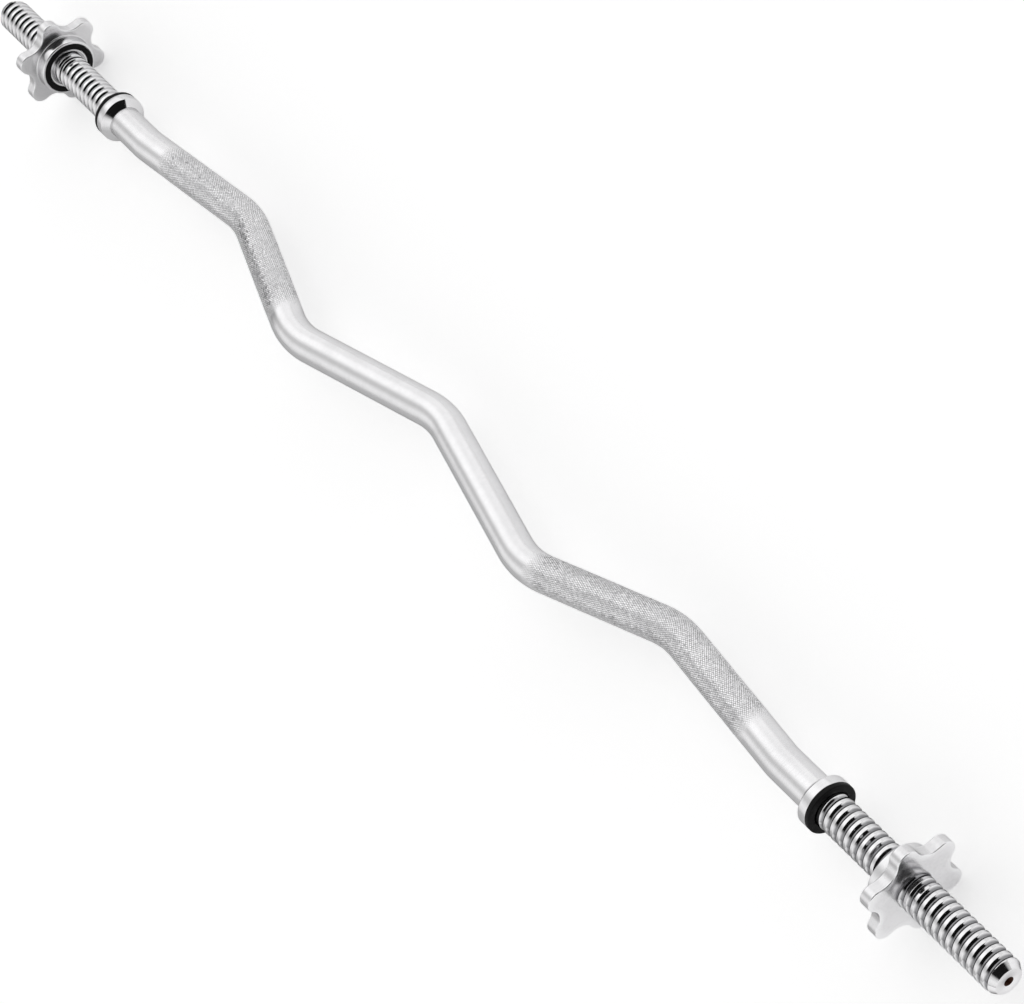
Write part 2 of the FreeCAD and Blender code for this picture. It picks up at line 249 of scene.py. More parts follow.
def handling():
    """Soft smudges from hands and fine specks in the plating."""
    tree, enter, leave = new_group(
        "handling", [("Lay", "Vector"), ("Size", "Float")], ["Smudges", "Specks"])
    lay = enter.outputs["Lay"]
    soft = add(tree, "TexNoise", Vector=lay, Scale=enter.outputs["Size"], Detail=5.0, Roughness=0.6)
    connect(tree, leave.inputs["Smudges"], spread(tree, soft.outputs[0], low=0.38, high=0.68))
    fine = add(tree, "TexNoise", Vector=lay, Scale=1.7, Detail=2.0, Roughness=0.5)
    connect(tree, leave.inputs["Specks"], spread(tree, fine.outputs[0], low=0.66, high=0.74))
    return tree


MARKS = polishing_marks()
HANDLING = handling()


def noted(tree, name):
    """A number that each point of a mesh keeps under a name."""
    return add(tree, "Attribute", {"attribute_name": name}).outputs["Fac"]


def laid(tree):
    """Each point's place before the bar was bent."""
    return add(tree, "Attribute", {"attribute_name": "lay"}).outputs["Vector"]


def plated(name, bright, dull, roughness, along, around, depth):
    """A plated steel finish: its tone, polish and marks. Returns the parts that a piece adds to."""
    material = bpy.data.materials.new(name)
    material.use_nodes = True
    tree = material.node_tree
    shader = tree.nodes["Principled BSDF"]
    lay = laid(tree)
    marks = add(tree, "Group", {"node_tree": MARKS}, Lay=lay, Along=along, Around=around)
    hands = add(tree, "Group", {"node_tree": HANDLING}, Lay=lay, Size=SMUDGE_SIZE)
    worn = calc(tree, "MULTIPLY", hands.outputs["Smudges"], SMUDGE_SHARE)
    worn = calc(tree, "MULTIPLY_ADD", marks.outputs["Streaks"], STREAK_SHARE, worn)
    colour = tint(tree, worn, bright + (1,), dull + (1,))
    gloss = spread(tree, worn, 0.0, 1.0, *roughness)
    height = calc(tree, "MULTIPLY_ADD", hands.outputs["Specks"], SPECK_HEIGHT,
                  marks.outputs["Streaks"])
    bump = add(tree, "Bump", Strength=MARK_STRENGTH, Distance=depth, Height=height)
    shader.inputs["Metallic"].default_value = 1.0
    shader.inputs["Specular Tint"].default_value = GRAZING_TINT
    connect(tree, shader.inputs["Base Color"], colour)
    connect(tree, shader.inputs["Roughness"], gloss)
    connect(tree, shader.inputs["Normal"], bump.outputs[0])
    return material, tree, shader, colour, gloss


SATIN_CHROME = plated("satin_chrome", (0.87, 0.865, 0.875), (0.78, 0.775, 0.785), (0.15, 0.24),
                      along=0.9, around=0.25, depth=0.00001)[0]


def smooth_length(name, from_x, to_x):
    """A plain round length of the bent bar between two places along it."""
    first, last = np.interp([from_x, to_x], LINE_X, LENGTH)
    inside = LENGTH[(LENGTH > first + CLOSEST_ROWS) & (LENGTH < last - CLOSEST_ROWS)]
    along = np.concatenate([[first, first], inside, [last, last]])[:, None]
    radius = np.full_like(along, BAR_RADIUS)
    radius[[0, -1]] = 0
    angle = np.linspace(0, 2 * math.pi, AROUND_BAR + 1)[None, :]
    piece = skin(name, bent(along, radius, angle), on_bar, straight(along, radius, angle))
    fit(piece, "bar", "bar", SATIN_CHROME)


smooth_length("bar_middle", LEFT_GRIP[1], RIGHT_GRIP[0])
smooth_length("bar_right_neck", RIGHT_GRIP[1], SLEEVE_START)
smooth_length("bar_left_neck", -SLEEVE_START, LEFT_GRIP[0])


# Knurled grips: a diamond pattern rolled into the same bar where the hands go, before plating.
# The rolls press crossed grooves and raise blunt pyramids a little above the bar's surface.
KNURL_STARTS = 52
KNURL_ANGLE = math.radians(30)
KNURL_VALLEY = BAR_RADIUS - 0.07
KNURL_CREST = BAR_RADIUS + 0.13
KNURL_TOP = 0.72
KNURL_LEAN = 0.05
FADE_ROWS = 9
GROOVE_PRESS = (0.4, 1.0)
PYRAMID_RISE = (0.6, 1.0)
UNPRESSED_CHROME = (0.86, 0.855, 0.865, 1)
# Painted shade: the dark colour given to the knurl's grooves between the pyramids.
KNURL_GROOVE_SHADE = (0.24, 0.24, 0.25, 1)
HAND_GRIME = (0.40, 0.40, 0.41, 1)
GRIME_SIZE = 0.72
GRIME_SHARE = 0.52

KNURLED_CHROME, tree, shader, colour, _ = plated(
    "knurled_chrome", (0.97, 0.965, 0.975), (0.87, 0.865, 0.875), (0.20, 0.32),
    along=1.2, around=1.2, depth=0.00001)
hands = add(tree, "Group", {"node_tree": HANDLING}, Lay=laid(tree), Size=GRIME_SIZE)
pressing = noted(tree, "pressing")
colour = tint(tree, pressing, UNPRESSED_CHROME, colour)
grime = calc(tree, "MULTIPLY", hands.outputs["Smudges"], GRIME_SHARE)
colour = tint(tree, calc(tree, "MULTIPLY", grime, pressing), colour, HAND_GRIME)
# Painted shade in the grooves: points below the crests take the dark groove colour.
colour = tint(tree, noted(tree, "crest"), KNURL_GROOVE_SHADE, colour)
connect(tree, shader.inputs["Base Color"], colour)


def knurled_grip(name, from_x, to_x, seed):
    """Blunt pyramids on a lattice of crossed grooves, laid along the bent bar."""
    first, last = np.interp([from_x, to_x], LINE_X, LENGTH)
    cell = 2 * math.pi * BAR_RADIUS / KNURL_STARTS / math.tan(KNURL_ANGLE)
    count = 2 * round((last - first) / cell)
    step = (last - first) / count
    chance = np.random.default_rng(seed)
    starts = np.arange(KNURL_STARTS)
    pitch = 2 * math.pi / KNURL_STARTS
    along, radius, angle, height, pressing, faces = [], [], [], [], [], []

    def faded(row):
        """How far the rolls are pressed in at a row."""
        return min(1, min(row, count - row) / FADE_ROWS)

    def points(at, out, turn, crest):
        """Adds one ring of points and returns their numbers."""
        begin = len(along)
        along.extend(np.broadcast_to(first + at * step, starts.shape))
        radius.extend(np.broadcast_to(out, starts.shape))
        angle.extend((starts + turn) * pitch)
        height.extend(np.broadcast_to(crest, starts.shape))
        pressing.extend(np.broadcast_to(faded(at), starts.shape))
        return begin + starts

    grooves = []
    for row in range(count + 1):
        depth = (BAR_RADIUS - KNURL_VALLEY) * faded(row)
        pressed = faded(row) * chance.uniform(*GROOVE_PRESS, starts.shape)
        grooves.append(points(row, BAR_RADIUS - depth, row % 2 / 2, 1.0 - pressed))
    for row in range(1, count):
        turn = row % 2 / 2
        left = grooves[row]
        right = np.roll(left, -1)
        shift = 0 if turn == 0 else -1
        below, above = np.roll(grooves[row - 1], shift), np.roll(grooves[row + 1], shift)
        rise = faded(row) * chance.uniform(*PYRAMID_RISE, starts.shape)
        tops = BAR_RADIUS + (KNURL_CREST - BAR_RADIUS) * rise
        along_lean, side_lean = faded(row) * chance.normal(0, KNURL_LEAN, (2, KNURL_STARTS))
        middle = turn + 0.5
        low = points(row - KNURL_TOP, tops - along_lean, middle, 1.0)
        east = points(row, tops + side_lean, middle + KNURL_TOP / 2, 1.0)
        high = points(row + KNURL_TOP, tops + along_lean, middle, 1.0)
        west = points(row, tops - side_lean, middle - KNURL_TOP / 2, 1.0)
        for ring in ((below, right, east, low), (right, above, high, east),
                     (above, left, west, high), (left, below, low, west), (low, east, high, west)):
            faces.extend(np.stack(ring, -1).tolist())
    for end, inner in ((0, 1), (count, count - 1)):
        shift = 0 if end % 2 == 0 else -1
        left, right = grooves[end], np.roll(grooves[end], -1)
        faces.extend(np.stack([left, right, np.roll(grooves[inner], shift)], -1).tolist())
        hub = points(end, 0.0, 0.0, 0.0)
        faces.extend(np.stack([left, right, np.roll(hub, -1), hub], -1).tolist())

    along, radius, angle = (np.array(values, float) for values in (along, radius, angle))
    mesh = bpy.data.meshes.new(name)
    mesh.from_pydata(bent(along, radius, angle).tolist(), [], faces)
    store(mesh, "lay", straight(along, radius, angle))
    store(mesh, "crest", height)
    store(mesh, "pressing", pressing)
    fit(finish_mesh(name, mesh, on_bar, 0), "bar", "bar", KNURLED_CHROME)


knurled_grip("right_grip", *RIGHT_GRIP, seed=3)
knurled_grip("left_grip", *LEFT_GRIP, seed=5)


# Threaded sleeves: the two ends of the same bar, cut with a coarse right-hand thread with open flanks.
# Each tip is bevelled and keeps the small centre hole that held it in the lathe, bare steel inside.
# The grooves carry painted shade, darker towards the root and stronger at the right end.
TIP = 600
PITCH = 6.35
THREAD_DEPTH = 1.5
ROOT_WIDTH = 1.1
FLANK = math.tan(math.radians(42))
THREAD_PLAY = 0.4
GROOVE_START = 432.5
THREAD_FROM = 434.0
RUN_IN = 9.0
BEVEL_LENGTH = 5.0
BEVEL_DEPTH = 3.0
BEVEL_BREAK = 0.6
CENTRE_HOLE = 3.25
HOLE_SLOPE = math.radians(30)
HOLE_BREAK = (0.12, 0.25)
HOLE_MARGIN = 0.1
CREST_ROUND = 0.3
CREST_ROWS = 4
# Painted shade in the thread grooves: its share at each end, and the dark colour it paints.
THREAD_SHADE_SHARE = {"right": 1.0, "left": 0.35}
THREAD_GROOVE_SHADE = (0.21, 0.21, 0.22, 1)
BARE_STEEL = (0.06, 0.022, 0.012, 1)
BARE_ROUGHENING = 0.45
THREAD_GRAZING_TINT = (0.2, 0.2, 0.2, 1)

place_of_end = {"right": Matrix.Identity(4), "left": Matrix.Rotation(math.pi, 4, "Z")}

THREAD_CHROME, tree, shader, colour, gloss = plated(
    "thread_chrome", (0.90, 0.895, 0.905), (0.78, 0.775, 0.785), (0.06, 0.14),
    along=1.5, around=0.3, depth=0.000008)
bare = noted(tree, "bare")
# Painted shade: the thread grooves darken with depth, scaled by each end's share.
groove_shading = spread(tree, noted(tree, "groove_shade"), low=0.05, high=0.7, to_high=0.88)
colour = tint(tree, groove_shading, colour, THREAD_GROOVE_SHADE)
connect(tree, shader.inputs["Base Color"], tint(tree, bare, colour, BARE_STEEL))
connect(tree, shader.inputs["Roughness"], calc(tree, "MULTIPLY_ADD", bare, BARE_ROUGHENING, gloss))
connect(tree, shader.inputs["Metallic"], spread(tree, bare, to_low=1.0, to_high=0.3))
shader.inputs["Specular Tint"].default_value = THREAD_GRAZING_TINT


def groove_section():
    """Offsets and depths of one turn of the bar's groove, from mid crest to mid crest."""
    root = ROOT_WIDTH / 2
    mouth = root + THREAD_DEPTH * FLANK
    crest = mouth + CREST_ROUND
    side = [(0.0, 1.0), (root - 0.3, 1.0), (root, 0.95), (root + 0.2, 0.82),
            (mouth - 0.35, 0.32), (mouth - 0.12, 0.13), (mouth + 0.08, 0.03), (crest, 0.0)]
    side += [(crest + (PITCH / 2 - crest) * k / CREST_ROWS, 0.0) for k in range(1, CREST_ROWS + 1)]
    return [(-along, deep) for along, deep in side[:0:-1]] + side[:-1]


def thread_rows(section, centre, first, last, angle):
    """Rows of a right-hand thread about X between two ends: places along, and depth from 0 to 1."""
    turns = range(math.floor((first - centre) / PITCH) - 2, math.ceil((last - centre) / PITCH) + 2)
    offsets = np.array([turn * PITCH + along for turn in turns for along, deep in section])
    depths = np.array([deep for turn in turns for along, deep in section])
    along = centre + offsets[:, None] + PITCH * angle[None, :] / (2 * math.pi)
    return np.clip(along, first, last), np.broadcast_to(depths[:, None], along.shape)


def threaded_sleeve(side):
    """One end of the bar, from inside the collar to its drilled tip."""
    angle = np.linspace(0, 2 * math.pi, AROUND_BAR + 1)
    along, deep = thread_rows(groove_section(), GROOVE_START, THREAD_FROM, TIP, angle)
    deep = deep * np.clip((along - THREAD_FROM) / RUN_IN, 0, 1)
    bevel = BAR_RADIUS - (along - TIP + BEVEL_LENGTH) * BEVEL_DEPTH / BEVEL_LENGTH
    radius = np.minimum(BAR_RADIUS - THREAD_DEPTH * deep, bevel)
    hole_depth = CENTRE_HOLE / math.tan(HOLE_SLOPE)
    break_depth, break_width = HOLE_BREAK
    start = [(SLEEVE_START, 0), (SLEEVE_START, BAR_RADIUS)]
    end = [(TIP, BAR_RADIUS - BEVEL_DEPTH - BEVEL_BREAK), (TIP, CENTRE_HOLE + break_width),
           (TIP - break_depth, CENTRE_HOLE), (TIP - hole_depth / 2, CENTRE_HOLE / 2),
           (TIP - hole_depth, 0)]

    def turned(pairs):
        """Places along and radii of plain turned rows."""
        pairs = np.array(pairs, float)
        return [np.repeat(pairs[:, [k]], len(angle), axis=1) for k in (0, 1)]

    start_along, start_radius = turned(start)
    end_along, end_radius = turned(end)
    all_along = np.concatenate([start_along, along, end_along])
    all_radius = np.concatenate([start_radius, radius, end_radius])
    in_hole = all_along > TIP - hole_depth - HOLE_MARGIN
    in_hole &= all_radius < CENTRE_HOLE + HOLE_MARGIN
    in_groove = (BAR_RADIUS - all_radius) / THREAD_DEPTH * (all_along < TIP - BEVEL_LENGTH)
    # The groove mark carries the painted shade by groove depth; the hole mark is the bare steel.
    marks = {"groove_shade": THREAD_SHADE_SHARE[side] * in_groove, "bare": in_hole}
    rows = straight(all_along, all_radius, angle[None, :])
    piece = skin(side + "_sleeve", rows, on_bar @ place_of_end[side], marks=marks, sharp=40)
    fit(piece, "bar", "bar", THREAD_CHROME)


for side in place_of_end:
    threaded_sleeve(side)


# Inner collars: plain steel rings turned from bar and plated, a stop for the plates.
# The inboard side is turned to a cone and the outboard edge only broken. A pin holds each to the bar.
COLLAR_LENGTH = 11
COLLAR_RADIUS = 18
COLLAR_BORE = 12.55
CONE_LENGTH = 4.2
CONE_DEPTH = 5.2
CONE_ROUND = 1.2
COLLAR_EDGE = 0.4
COLLAR_BORE_BREAK = 0.3
PIN_HOLE = 2.05
PIN_HOLE_TOP = -10
PIN_HOLE_BOTTOM = -20
AROUND_HOLE = 32

COLLAR_CHROME = plated("collar_chrome", (0.88, 0.875, 0.885), (0.78, 0.775, 0.785), (0.07, 0.15),
                       along=2.2, around=0.12, depth=0.000008)[0]


def arc(centre, radius, start, end, steps):
    """Points of a rounded edge in a section, angles in degrees from the direction along the axis."""
    turn = np.radians(np.linspace(start, end, steps + 1))
    return [(centre[0] + radius * math.cos(t), centre[1] + radius * math.sin(t)) for t in turn]


def turned_ring(name, section, place, sharp=32):
    """A ring turned about X from a closed section of places along and out."""
    pairs = np.array(section + section[:1], float)
    angle = np.linspace(0, 2 * math.pi, AROUND_BAR + 1)[None, :]
    return skin(name, straight(pairs[:, [0]], pairs[:, [1]], angle), place, sharp=sharp)


def drilled(piece, place, radius, top, bottom):
    """Cuts a round hole down a piece's own -Z."""
    angle = np.linspace(0, 2 * math.pi, AROUND_HOLE + 1)
    levels = np.array([(top, 0), (top, radius), (bottom, radius), (bottom, 0)], float)
    rows = np.stack([levels[:, [1]] * np.cos(angle), levels[:, [1]] * np.sin(angle),
                     np.repeat(levels[:, [0]], len(angle), axis=1)], -1)
    drill = skin(piece.name + "_drill", rows, place)
    cut = piece.modifiers.new("hole", "BOOLEAN")
    cut.object = drill
    cut.operation = "DIFFERENCE"
    cut.solver = "EXACT"
    evaluated = piece.evaluated_get(bpy.context.evaluated_depsgraph_get())
    drilled_mesh = bpy.data.meshes.new_from_object(evaluated)
    piece.modifiers.clear()
    piece.data = drilled_mesh
    bpy.data.objects.remove(drill)


for side in place_of_end:
    place = on_bar @ place_of_end[side] @ Matrix.Translation((SLEEVE_START, 0, 0))
    lean = math.atan2(CONE_DEPTH, CONE_LENGTH)
    shoulder = CONE_LENGTH + CONE_ROUND * math.tan(lean / 2)
    section = [(0, COLLAR_BORE), (0, COLLAR_RADIUS - CONE_DEPTH)]
    section += arc((shoulder, COLLAR_RADIUS - CONE_ROUND), CONE_ROUND, 90 + math.degrees(lean), 90, 5)
    section += arc((COLLAR_LENGTH - COLLAR_EDGE, COLLAR_RADIUS - COLLAR_EDGE), COLLAR_EDGE, 90, 0, 4)
    section += [(COLLAR_LENGTH, COLLAR_BORE + COLLAR_BORE_BREAK),
                (COLLAR_LENGTH - COLLAR_BORE_BREAK, COLLAR_BORE)]
    piece = turned_ring(side + "_collar", section, place)
    hole_place = place @ Matrix.Translation(((CONE_LENGTH + COLLAR_LENGTH) / 2, 0, 0))
    drilled(piece, hole_place, PIN_HOLE, PIN_HOLE_TOP, PIN_HOLE_BOTTOM)
    fit(piece, "bar", side + "_inner_collar", COLLAR_CHROME)


# Collar pins: slotted spring pins driven through the collar into the bar, dark from heat treatment.
# They are seen only from below, and the solids already have their shape.
SPRING_STEEL = (0.10, 0.10, 0.11, 1)
RUBBED_STEEL = (0.22, 0.21, 0.20, 1)

material = bpy.data.materials.new("dark_spring_steel")
material.use_nodes = True
tree = material.node_tree
shader = tree.nodes["Principled BSDF"]
place = add(tree, "TexCoord").outputs["Object"]
scale = add(tree, "VectorMath", {"operation": "SCALE"}, Vector=place, Scale=1 / MILLIMETRE)
hands = add(tree, "Group", {"node_tree": HANDLING}, Lay=scale.outputs[0], Size=0.6)
rubbed = hands.outputs["Smudges"]
connect(tree, shader.inputs["Base Color"], tint(tree, rubbed, SPRING_STEEL, RUBBED_STEEL))
connect(tree, shader.inputs["Roughness"], spread(tree, rubbed, to_low=0.28, to_high=0.45))
shader.inputs["Metallic"].default_value = 1.0
for side in place_of_end:
    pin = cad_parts[side + "_collar_pin"]
    pin.data.materials.clear()
    pin.data.materials.append(material)


# Collar rings: black rubber washers pressed up against the collars, so that plates don't ring or slip.
# Moulded, with soft edges, and held by their fit on the bar.
WASHER_THICK = 3.5
WASHER_RADIUS = 18.0
WASHER_BORE = 12.8
WASHER_BACK_EDGE = 0.5
WASHER_FRONT_EDGE = 0.7
WASHER_BORE_EDGE = 0.4
CLEAN_RUBBER = (0.002, 0.002, 0.002, 1)
DUSTY_RUBBER = (0.007, 0.006, 0.007, 1)
DUST_IN_STREAKS = 0.35
DUST_IN_SMUDGES = 0.5

material = bpy.data.materials.new("black_rubber")
material.use_nodes = True
tree = material.node_tree
shader = tree.nodes["Principled BSDF"]
lay = laid(tree)
marks = add(tree, "Group", {"node_tree": MARKS}, Lay=lay, Along=2.0, Around=0.8)
hands = add(tree, "Group", {"node_tree": HANDLING}, Lay=lay, Size=0.22)
dusty = calc(tree, "MULTIPLY", hands.outputs["Smudges"], DUST_IN_SMUDGES)
dusty = calc(tree, "MULTIPLY_ADD", marks.outputs["Streaks"], DUST_IN_STREAKS, dusty)
connect(tree, shader.inputs["Base Color"], tint(tree, dusty, CLEAN_RUBBER, DUSTY_RUBBER))
connect(tree, shader.inputs["Roughness"], spread(tree, dusty, to_low=0.42, to_high=0.68))
shader.inputs["Specular IOR Level"].default_value = 0.16
bump = add(tree, "Bump", Strength=0.4, Distance=0.00003,
           Height=calc(tree, "ADD", marks.outputs["Streaks"], hands.outputs["Specks"]))
connect(tree, shader.inputs["Normal"], bump.outputs[0])
BLACK_RUBBER = material

for side in place_of_end:
    place = on_bar @ place_of_end[side] @ Matrix.Translation((SLEEVE_START + COLLAR_LENGTH, 0, 0))
    back, front, inner = WASHER_BACK_EDGE, WASHER_FRONT_EDGE, WASHER_BORE_EDGE
    section = arc((back, WASHER_RADIUS - back), back, 180, 90, 5)
    section += arc((WASHER_THICK - front, WASHER_RADIUS - front), front, 90, 0, 6)
    section += arc((WASHER_THICK - inner, WASHER_BORE + inner), inner, 0, -90, 4)
    section += arc((inner, WASHER_BORE + inner), inner, 270, 180, 4)
    piece = turned_ring(side + "_washer", section, place)
    fit(piece, "bar", side + "_collar_ring", BLACK_RUBBER)


# Star nuts: six-lobed cast plates with a round hub on the inboard side, ground flat, turned, threaded
# and plated. They spin along the sleeves by their thread and clamp the plates against the collars.
LOBES = 6
LOBE_TIP = 36
LOBE_RADIUS = 8
VALLEY_RADIUS = 12
HUB_RADIUS = 22.0
MOUTH_RADIUS = 14.3
HUB_HEIGHT = 9.5
PLATE_THICK = 8.5
NUT_BORE = BAR_RADIUS - THREAD_DEPTH + THREAD_PLAY
CHANNEL_DEPTH = THREAD_DEPTH
PLATE_EDGE = 0.7
FACE_MARGIN = 0.3
WALL_MARGIN = 0.4
FACE_SHARES = (0.1, 0.4, 0.75)
HUB_FILLET = 1.2
HUB_EDGE = 1.1
SEAT_BREAK = 0.2
MOUTH_EDGE = 0.9
MOUTH_MARGIN = 0.3
MOUTH_DEPTH = 2.2
BORE_BREAK = 1.0
BORE_CHAMFER = ((0.15, 0.9), (0, 1.15))
FACE_START = 1.2
THREAD_FADE = 0.8
RUBBED_CHROME = (0.90, 0.90, 0.91, 1)
PLATE_RUB, BORE_RUB, HUB_RUB = 0.8, 0.6, 0.5
LOBE_STEPS = 8
VALLEY_STEPS = 14
RING_SEAT = (15.7, 20.1, 2.5)
NUT_SEATS = {"right": 497.5, "left": 508.5}
NUT_TURN = {"right": 20, "left": -20}

STAR_CHROME, tree, shader, colour, _ = plated(
    "star_nut_chrome", (0.82, 0.815, 0.825), (0.72, 0.715, 0.725), (0.15, 0.27),
    along=0.9, around=0.5, depth=0.00001)
connect(tree, shader.inputs["Base Color"], tint(tree, noted(tree, "edge"), colour, RUBBED_CHROME))


def star_outline():
    """Points round the star, the way out at each, and their angles about the axis."""
    reach = LOBE_TIP - LOBE_RADIUS
    half = math.pi / LOBES
    apart = math.sqrt((LOBE_RADIUS + VALLEY_RADIUS) ** 2 - (reach * math.sin(half)) ** 2)
    valley = reach * math.cos(half) + apart
    points, outward = [], []
    for lobe in range(LOBES):
        middle = 2 * half * lobe
        centre = reach * np.array([math.cos(middle), math.sin(middle)])
        hollow = valley * np.array([math.cos(middle + half), math.sin(middle + half)])
        lean = math.atan2(*(hollow - centre)[::-1])
        sweep = (lean - middle + math.pi) % (2 * math.pi) - math.pi
        turns = np.linspace(-sweep, sweep, 2 * LOBE_STEPS + 1)
        for turn in turns[LOBE_STEPS if lobe == 0 else 1:]:
            way = np.array([math.cos(middle + turn), math.sin(middle + turn)])
            points.append(centre + LOBE_RADIUS * way)
            outward.append(way)
        facing = middle + half + math.pi
        bend = (lean + math.pi - facing + math.pi) % (2 * math.pi) - math.pi
        for turn in np.linspace(bend, -bend, VALLEY_STEPS + 1)[1:]:
            way = np.array([math.cos(facing + turn), math.sin(facing + turn)])
            points.append(hollow + VALLEY_RADIUS * way)
            outward.append(-way)
    centre = reach * np.array([1.0, 0.0])
    for turn in np.linspace(-sweep, 0, LOBE_STEPS + 1)[1:]:
        way = np.array([math.cos(turn), math.sin(turn)])
        points.append(centre + LOBE_RADIUS * way)
        outward.append(way)
    points, outward = np.array(points), np.array(outward)
    angles = np.unwrap(np.arctan2(points[:, 1], points[:, 0]))
    return points, outward, angles


def channel_section():
    """Offsets and depths of one turn of the nut's channel, which clears the bar's crest all round."""
    def half_width(depth):
        """Half of the channel's width at a depth from 0 at its mouth to 1 at its floor."""
        narrowing = (THREAD_PLAY + depth * CHANNEL_DEPTH) * FLANK
        return PITCH / 2 - ROOT_WIDTH / 2 - narrowing + THREAD_PLAY

    wide, narrow = half_width(0), half_width(1)
    lip = wide + 0.12
    side = [(0.0, 1.0), (narrow - 0.1, 1.0), (narrow + 0.1, 0.85), (wide - 0.1, 0.12), (lip, 0.0)]
    side += [((lip + PITCH / 2) / 2, 0.0), (PITCH / 2, 0.0)]
    return [(-along, deep) for along, deep in side[:0:-1]] + side[:-1]


def star_nut(side):
    """A nut in rows from its bore over the front face, round the star and the hub, and back inside."""
    outline, outward, angle = star_outline()
    face = HUB_HEIGHT + PLATE_THICK
    rows, edges = [], []

    def circle(along, radius, edge=0.0):
        """A round row."""
        rows.append(straight(np.full_like(angle, along), np.full_like(angle, radius), angle))
        edges.append(np.full_like(angle, edge))

    def star(along, inset, edge=0.0):
        """A row along the star's outline, or a little inside it."""
        flat = outline - outward * inset
        rows.append(np.concatenate([np.full((len(angle), 1), along), flat], axis=1))
        edges.append(np.full_like(angle, edge))

    def between(along, radius, inset, share):
        """A row part of the way from a circle to the star."""
        ring = radius * np.stack([np.cos(angle), np.sin(angle)], -1)
        flat = ring + (outline - outward * inset - ring) * share
        rows.append(np.concatenate([np.full((len(angle), 1), along), flat], axis=1))
        edges.append(np.zeros_like(angle))

    circle(face - BORE_BREAK, NUT_BORE)
    for under, out in BORE_CHAMFER:
        circle(face - under, NUT_BORE + out, BORE_RUB)
    for share in FACE_SHARES:
        between(face, NUT_BORE + FACE_START, PLATE_EDGE + FACE_MARGIN, share)
    for along, inset in arc((face - PLATE_EDGE, 0), PLATE_EDGE, 0, 90, 5):
        star(along, PLATE_EDGE - inset, PLATE_RUB)
    wall = (face - PLATE_EDGE - WALL_MARGIN, HUB_HEIGHT + PLATE_EDGE + WALL_MARGIN)
    for along in np.linspace(*wall, 5):
        star(along, 0.0)
    for along, inset in arc((HUB_HEIGHT + PLATE_EDGE, 0), PLATE_EDGE, 90, 180, 5):
        star(along, PLATE_EDGE - inset, PLATE_RUB)
    for share in FACE_SHARES[::-1]:
        between(HUB_HEIGHT, HUB_RADIUS + HUB_FILLET, PLATE_EDGE + FACE_MARGIN, share)
    for along, out in arc((HUB_HEIGHT - HUB_FILLET, HUB_RADIUS + HUB_FILLET), HUB_FILLET, 0, -90, 6):
        circle(along, out)
    for along, out in arc((HUB_EDGE, HUB_RADIUS - HUB_EDGE), HUB_EDGE, 90, 180, 6):
        circle(along, out, HUB_RUB)
    inner, outer, seat = RING_SEAT
    circle(0, outer + SEAT_BREAK, HUB_RUB)
    circle(SEAT_BREAK, outer)
    circle(seat, outer)
    circle(seat, inner)
    circle(SEAT_BREAK, inner)
    circle(0, inner - SEAT_BREAK, HUB_RUB)
    for along, out in arc((MOUTH_EDGE, MOUTH_RADIUS + MOUTH_MARGIN), MOUTH_EDGE, 180, 235, 5):
        circle(along, out, HUB_RUB)
    circle(MOUTH_DEPTH, NUT_BORE)
    lead = NUT_TURN[side] / 360 * PITCH
    centre = GROOVE_START + PITCH / 2 + lead - NUT_SEATS[side]
    last = face - BORE_BREAK
    along, deep = thread_rows(channel_section(), centre, MOUTH_DEPTH, last, angle)
    deep = deep * np.clip((along - MOUTH_DEPTH) / THREAD_FADE, 0, 1)
    deep = deep * np.clip((last - along) / THREAD_FADE, 0, 1)
    bore = straight(along, NUT_BORE + CHANNEL_DEPTH * deep, angle[None, :])
    rows = np.concatenate([np.array(rows), bore])
    edges = np.concatenate([np.array(edges), np.zeros(along.shape)])
    place = on_axis @ place_of_end[side] @ Matrix.Translation((NUT_SEATS[side], 0, 0))
    piece = skin(side + "_star", rows, place, marks={"edge": edges}, sharp=35)
    fit(piece, side + "_nut", side + "_star_nut", STAR_CHROME)


for side in place_of_end:
    star_nut(side)


# Nut rings: flat black rubber rings pushed into the groove of each hub. They stand a little proud
# so that they grip the plate before the metal touches it.
NUT_RING = (16.0, 19.8)
RING_THICK = 3.0
RING_PROUD = 0.5
RING_EDGE = 0.5

for side in place_of_end:
    inner, outer = NUT_RING
    place = on_axis @ place_of_end[side] @ Matrix.Translation((NUT_SEATS[side] - RING_PROUD, 0, 0))
    section = arc((RING_EDGE, outer - RING_EDGE), RING_EDGE, 180, 90, 5)
    section += [(RING_THICK, outer), (RING_THICK, inner)]
    section += arc((RING_EDGE, inner + RING_EDGE), RING_EDGE, 270, 180, 5)
    piece = turned_ring(side + "_ring", section, place)
    fit(piece, side + "_ring", side + "_nut_ring", BLACK_RUBBER)


# Studio: a plain white floor in soft light, in bands of tone round the bar, with a dark part in front,
# towards the camera, and a dark far end. The metal sees less of the floor's glow beside the bar: a
# painted shadow, darkest on the -Y side.
# The camera looks steeply down along the bar with its right end nearest.
FLOOR_HALF = 12.0
CAMERA_PLACE = Vector((1.63083, 0.40484, 1.86011))
CAMERA_RIGHT = Vector((0.55405, 0.58230, -0.59492))
CAMERA_UP = Vector((-0.53944, 0.79548, 0.27619))
CAMERA_LENS = 130.83
SENSOR_WIDTH = 36
FARTHEST_SEEN = 100
SOFT_BOXES = [(-110, 0.63), (-92, 0.66), (-76, 1.10), (-56, 1.22), (-44, 1.03), (-32, 0.80),
              (-20, 0.82), (-8, 1.18), (4, 1.45), (24, 1.45), (44, 1.25), (74, 1.30),
              (92, 0.95), (110, 0.70)]
DARK_SIDES = (-0.52, 0.76)
DARK_SOFTNESS = 0.1
DARK_FRONT = (0.2, 0.4)
DARK_END = (-0.80, -0.92)
